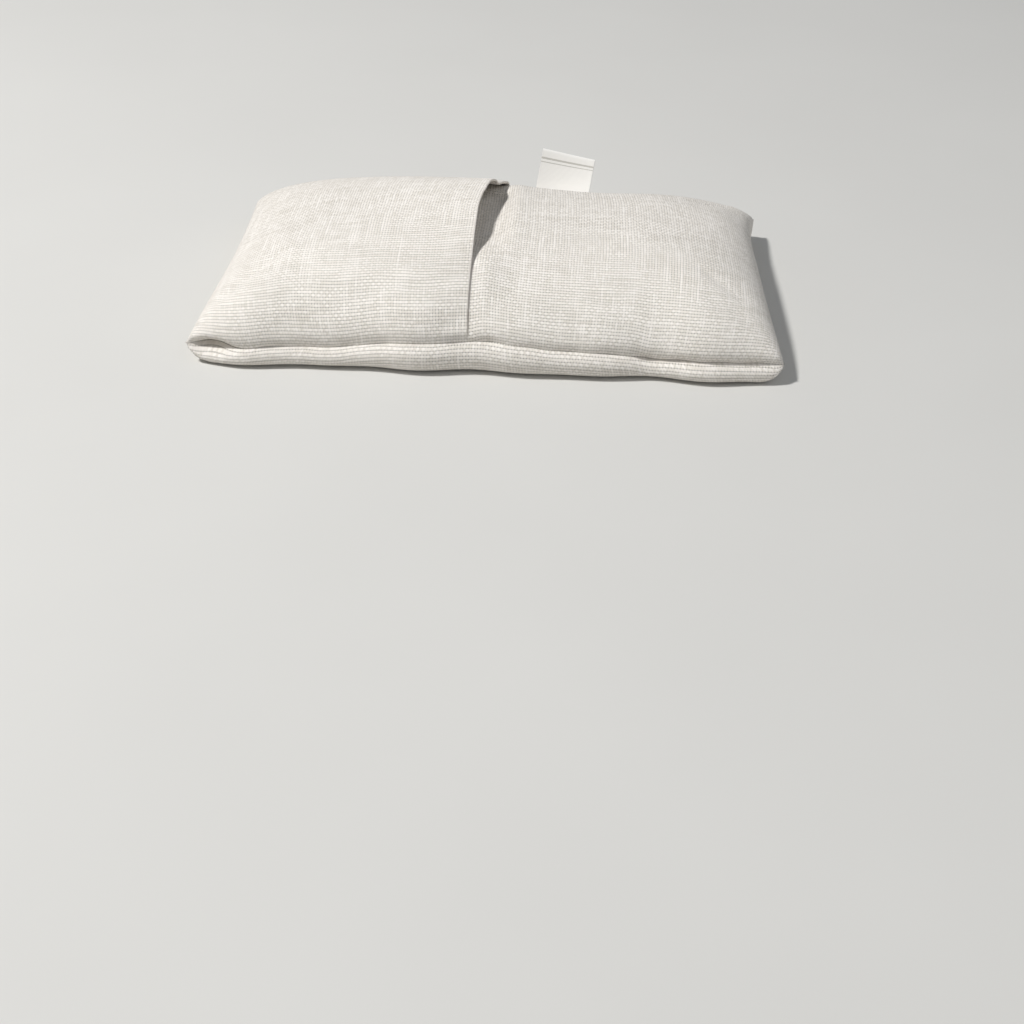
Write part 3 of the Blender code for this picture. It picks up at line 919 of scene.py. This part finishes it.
def hem_stitches(side, place, change):
    columns = evenly(0.004, CLOTH_WIDTH - 0.004, FINE)
    spot = np.array([place - 0.3 * MM, place, place + 0.3 * MM])
    grid = cloth_at(spot, columns) - cloth_facing(spot, columns) * (2 * HEM_ROUND + 0.02 * MM)
    grid = change(grid, spot)
    inward = -outwards(grid)[1]
    line = grid[1]
    for part in ("front", "back"):
        chosen = line[:, 1] <= 0 if part == "front" else line[:, 1] >= 0
        row = stitches(f"{side}_hem_stitches_{part}", line[chosen], inward[chosen],
                       HEM_STITCH_PITCH, HEM_STITCH_LENGTH, sewing_thread)
        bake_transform(row)
        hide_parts(f"{side}_flap_hem_thread")


hem_stitches("upper", UPPER_END - HEM_STITCH, upper_change)
hem_stitches("lower", LOWER_END + HEM_STITCH, lower_change)

# %% [markdown]
# ## The label
# A short cream ribbon is folded in two and its ends are caught in the back seam. It is soft, so it
# bends back a little, leans to the right and isn't quite flat. A maker's ribbon carries
# lettering; this one has a plain woven border in its place.

# %% Cotton ribbon
RIB_PITCH = 0.45 * MM
BORDER_LINES = (4.2 * MM, 0.35 * MM), (5.6 * MM, 0.16 * MM)  # from the fold, and half the width
ribbon, shader = new_finish("woven_cotton_ribbon", 0.75, "#F3EFE4")
place = put(ribbon, "ShaderNodeUVMap", {}, uv_map="cut")
spot = put(ribbon, "ShaderNodeSeparateXYZ", {0: place}).node.outputs
ribs = put(ribbon, MATH, {0: spot[0], 1: 2 * math.pi / RIB_PITCH}, operation="MULTIPLY")
ribs = put(ribbon, MATH, {0: ribs}, operation="SINE")
from_fold = put(ribbon, MATH, {0: spot[0]}, operation="ABSOLUTE")
border = 0.0
for line_at, half_as_wide in BORDER_LINES:
    off = put(ribbon, MATH, {0: from_fold, 1: line_at}, operation="SUBTRACT")
    off = put(ribbon, MATH, {0: off}, operation="ABSOLUTE")
    on_line = put(ribbon, MATH, {0: off, 1: half_as_wide}, operation="LESS_THAN")
    border = put(ribbon, MATH, {0: border, 1: on_line}, operation="MAXIMUM")
border = put(ribbon, MATH, {0: border, 1: 0.75}, operation="MULTIPLY")
# Painted shade: the cream is a little darker low in each rib.
cream_and_groove_shade = put(ribbon, MAP, {0: ribs, 1: -1.0, 2: 1.0, 3: 0.965, 4: 1.0})
cream_and_groove_shade = put(ribbon, MIX, {0: 1.0, 6: linear("#FFFDF8"), 7: cream_and_groove_shade}, data_type="RGBA",
            blend_type="MULTIPLY").node.outputs[2]
cream_and_groove_shade = put(ribbon, MIX, {0: border, 6: cream_and_groove_shade, 7: linear("#B9B6AD")}, data_type="RGBA").node.outputs[2]
dress(ribbon, shader, cream_and_groove_shade, ribs, 0.05 * MM, 0.5)
shader.inputs["Sheen Weight"].default_value = 0.10

# %% Label
LABEL_MIDDLE = 0.0205
LABEL_WIDTH = 0.0214
LABEL_LONG = 0.0256  # on its left edge; the right edge stands lower
LABEL_SHORTER = 0.0037
RIBBON_THICKNESS = 0.35 * MM
LOOP_RADIUS = 0.7 * MM

_, seam_points = seam_line("back")
foot_y = float(np.interp(LABEL_MIDDLE, seam_points[:, 0], seam_points[:, 1])) + 0.6 * MM
foot_z = float(np.interp(LABEL_MIDDLE, seam_points[:, 0], seam_points[:, 2]))
tilt = math.radians(32.0)  # backwards from upright
lean = math.tan(math.radians(8.5))  # to the right


def label_point(side, up, out):
    """side runs from -1 to 1 across the ribbon; up is along it; out is away from its middle layer."""
    length = mix(LABEL_LONG, LABEL_LONG - LABEL_SHORTER, (side + 1) / 2)
    up = up * length / LABEL_LONG
    bow = 0.9 * MM * (1 - side**2) * ease(up / 0.012) + 1.4 * MM * side * ease(up / 0.020)
    curl = 0.0009 * np.sin(up / 0.0075)
    away = out + bow * 0.6 + curl
    x = LABEL_MIDDLE + side * LABEL_WIDTH / 2 + lean * up
    y = foot_y + up * math.sin(tilt) + away * math.cos(tilt)
    z = foot_z + up * math.cos(tilt) - away * math.sin(tilt)
    return np.stack(np.broadcast_arrays(x, y, z), -1)


def label_grid(radius):
    """Up the front of the ribbon, over its fold and down the back, at a distance from the middle."""
    straight = evenly(0.0, LABEL_LONG - LOOP_RADIUS - RIBBON_THICKNESS, 0.9 * MM)
    angles = np.linspace(0, math.pi, 11)[1:-1]
    top_up = straight[-1] + radius * np.sin(angles)
    up = np.concatenate([straight, top_up, straight[::-1]])
    squeeze = mix(0.35, 1.0, ease(straight / 0.010))
    out = np.concatenate([-radius * squeeze, -radius * np.cos(angles), (radius * squeeze)[::-1]])
    side = np.linspace(-1, 1, 19)
    return label_point(side[None, :], up[:, None], out[:, None]), up


outer, up = label_grid(LOOP_RADIUS + RIBBON_THICKNESS)
inner, _ = label_grid(LOOP_RADIUS)
run = np.cumsum(np.concatenate([[0.0], np.linalg.norm(np.diff(outer[:, 9], axis=0), axis=1)]))
run -= run[-1] / 2
sides = np.linspace(0, LABEL_WIDTH, 19)
order = slice(None, None, -1)
label = shell("side_label", outer[:, order], inner[:, order], run, sides[order], ribbon)
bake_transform(label)
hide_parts("label_ribbon")

# %% [markdown]
# ## The pouch
# The seed is in a bag of thin cotton muslin of its own, sewn round by machine with its turned edges
# inside. It is filled through a gap in the right end, which is closed by hand with longer
# slanted stitches. The bag is about 4 mm smaller than the cover all round.

# %% Cotton muslin
MUSLIN_PITCH = 0.55 * MM
muslin, shader = new_finish("unbleached_cotton_muslin", 0.9, "#EFEBE0")
height, tone = plain_weave(muslin, "cut", MUSLIN_PITCH, MUSLIN_PITCH, 0.44, 0.0004)
# The last colour is the painted shade in the weave's gaps and low down between threads.
colour = woven_colour(muslin, height, tone, "#F4F0E6", "#E9E3D5", "#9A907F", "cut")
dress(muslin, shader, colour, height, 0.12 * MM, 0.7)
shader.inputs["Sheen Weight"].default_value = 0.08

# %% Pouch shape
POUCH_ALONG = 0.957  # of the cover's size
POUCH_ACROSS = 0.925
POUCH_LOW = 1.1 * MM
POUCH_TALL = 0.885
SEAM_MIDDLE = 0.0072  # just under the seams, the height that the filling shrinks to


def inside(grid, smaller=0.0):
    """The cover's shape made smaller for what lies in it, and sunk where the flaps sag on it."""
    made = grid.copy()
    x, y = grid[..., 0], grid[..., 1]
    made[..., 0] *= POUCH_ALONG - smaller / 0.1
    made[..., 1] *= POUCH_ACROSS - smaller / 0.057
    made[..., 2] = POUCH_LOW + grid[..., 2] * POUCH_TALL
    made[..., 2] += smaller * np.clip(1 - grid[..., 2] / SEAM_MIDDLE, -1, 1)  # towards its middle
    upper_side = ease((grid[..., 2] - 0.012) / 0.010)
    made[..., 2] -= SAG * pocket(made[..., 0], made[..., 1]) * upper_side
    return made


def closed_bag(name, grid, finish):
    """A ring of rows closed along both long edges, with a flat map."""
    rows, columns, _ = grid.shape
    mesh = bpy.data.meshes.new(name)
    mesh.from_pydata(grid.reshape(-1, 3).tolist(), [], loop_faces(rows, columns))
    u, v = np.meshgrid(np.arange(rows) * FINE, np.arange(columns) * FINE, indexing="ij")
    flat_map = np.stack([u, v], -1).reshape(-1, 2)
    layer = mesh.uv_layers.new(name="cut")
    corners = np.empty(len(mesh.loops), dtype=np.int32)
    mesh.loops.foreach_get("vertex_index", corners)
    spots = flat_map[corners].reshape(-1, 4, 2)
    wide = spots[:, :, 0].max(axis=1) - spots[:, :, 0].min(axis=1) > 2 * FINE
    spots[wide, :, 0] = np.where(spots[wide, :, 0] == 0.0, rows * FINE, spots[wide, :, 0])
    layer.data.foreach_set("uv", spots.reshape(-1).astype(np.float32))
    form = bmesh.new()
    form.from_mesh(mesh)
    bmesh.ops.remove_doubles(form, verts=form.verts, dist=0.02 * MM)
    form.to_mesh(mesh)
    form.free()
    mesh.shade_smooth()
    mesh.materials.append(finish)
    return into_scene(bpy.data.objects.new(name, mesh))


ring_rows = np.concatenate([np.linspace(0, TOP_LENGTH, 2 * ALONG_CELLS + 1)[:-1],
                            TOP_LENGTH + np.linspace(0, UNDER_LENGTH, 2 * ALONG_CELLS + 1)[:-1]])
cover_ring = cloth_at(ring_rows, across)
pouch_ring = inside(cover_ring)
from_seam = np.minimum(across, CLOTH_WIDTH - across)[None, :]
x, y = pouch_ring[..., 0], pouch_ring[..., 1]
pucker = 0.35 * MM * np.sin(x / 0.0011) * np.exp(-((from_seam - 0.003) / 0.0035) ** 2)
lumps = 0.25 * MM * crumpled(pouch_ring) * ease(from_seam / 0.010)
pouch_ring = pouch_ring + outwards(cover_ring) * np.minimum(pucker + lumps, 0.0)[..., None]
pouch = closed_bag("seed_pouch", pouch_ring, muslin)
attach(pouch, "insert")
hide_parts("pouch_top_panel", "pouch_bottom_panel")

# %% Pouch seams
def ring_line(t_from, t_to):
    """The pouch's right end fold, from one place across it to another."""
    at = evenly(mix(0, CLOTH_WIDTH, (t_from + 1) / 2), mix(0, CLOTH_WIDTH, (t_to + 1) / 2), FINE)
    return inside(cloth_at(np.array([TOP_LENGTH]), at))[0]


def outward_in_plan(line):
    way = unit(np.gradient(line, axis=0))
    return unit(np.stack([way[:, 1], -way[:, 0], 0 * way[:, 0]], 1))


GAP = 0.42  # share of the right end that is closed by hand
MACHINE_PITCH, MACHINE_LENGTH = 2.4 * MM, 1.9 * MM
HAND_PITCH, HAND_LENGTH = 4.5 * MM, 3.2 * MM
edges = inside(cloth_at(evenly(0, TOP_LENGTH, FINE), across))
left_end = edges[0, ::-1]
machine = np.concatenate([ring_line(GAP, 0.995), edges[::-1, -1][1:], left_end[1:], edges[1:, 0],
                          ring_line(-0.995, -GAP)[1:]])
machine = machine[np.concatenate([[True], np.linalg.norm(np.diff(machine, axis=0), axis=1) > 1e-6])]
hand = ring_line(-GAP, GAP)
for name, line, pitch, length, node in (
    ("pouch_machine_stitches", machine, MACHINE_PITCH, MACHINE_LENGTH, "pouch_seam_thread"),
    ("pouch_closing_stitches", hand, HAND_PITCH, HAND_LENGTH, "pouch_closing_stitch"),
):
    side = outward_in_plan(line)
    side = side * np.sign((side[:, :2] * line[:, :2]).sum(axis=1, keepdims=True))
    row = stitches(name, line + side * 0.05 * MM, side, pitch, length, sewing_thread)
    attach(row, "insert")
    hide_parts(node)

# %% [markdown]
# ## The filling
# Flaxseed is small, flat, brown and glossy, about 4 by 2 mm. It fills the pouch loosely as one heaped
# mass. Nobody sees it unless the pouch is opened, so one lumpy body with a pattern of seeds is
# enough, and it lies clear of the muslin on all sides.

# %% Flaxseed
SEED_LONG = 4.0 * MM
flaxseed, shader = new_finish("flaxseed_brown_hulled", 0.35, "#7A4F2B")
spot = put(flaxseed, "ShaderNodeTexCoord", {}).node.outputs["Object"]
spot = put(flaxseed, VECTOR, {0: spot, 1: (1 / SEED_LONG, 1.7 / SEED_LONG, 1.7 / SEED_LONG)},
           operation="MULTIPLY")
cells = put(flaxseed, "ShaderNodeTexVoronoi", {"Vector": spot, "Scale": 1.0}, feature="F1").node.outputs
each = put(flaxseed, MIX, {0: cells["Color"], 6: linear("#5E3819"), 7: linear("#9A6A3C")},
           data_type="RGBA").node.outputs[2]
# Painted shade: each seed darkens towards the gaps between seeds, where the heap is shaded.
gap_depth_and_shade = put(flaxseed, MAP, {0: cells["Distance"], 1: 0.35, 2: 0.75, 3: 1.0, 4: 0.25})
each = put(flaxseed, MIX, {0: 1.0, 6: each, 7: gap_depth_and_shade}, data_type="RGBA",
           blend_type="MULTIPLY").node.outputs[2]
dress(flaxseed, shader, each, gap_depth_and_shade, 1.0 * MM, 0.9)

CLEAR_OF_MUSLIN = 1.7 * MM
seed_ring = inside(cover_ring, CLEAR_OF_MUSLIN)
x, y, z = (seed_ring[..., k] for k in range(3))
grains = np.sin(x / 0.0009) * np.sin(y / 0.0008 + 2 * np.sin(x / 0.003)) * np.sin(z / 0.0009 + x / 0.002)
seed_ring = seed_ring - outwards(cover_ring) * (0.35 * MM * (1 + grains) * ease(from_seam / 0.004))[..., None]
seeds = closed_bag("flaxseed_heap", seed_ring, flaxseed)
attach(seeds, "insert")
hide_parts("flaxseed_filling")

# %% [markdown]
# ## Floor finish
# The floor is matt painted board with the faintest unevenness.

# %% Floor finish
board, shader = new_finish("matt_painted_board", 0.85, "#E6E4E0")
spot = put(board, "ShaderNodeTexCoord", {}).node.outputs["Object"]
cloud = put(board, NOISE, {"Vector": spot, "Scale": 9.0, "Detail": 4.0})
paint = put(board, MIX, {0: cloud, 6: linear("#D2D1CD"), 7: linear("#D8D7D3")},
            data_type="RGBA").node.outputs[2]
board.node_tree.links.new(paint, shader.inputs["Base Color"])
floor_mesh.materials.append(board)
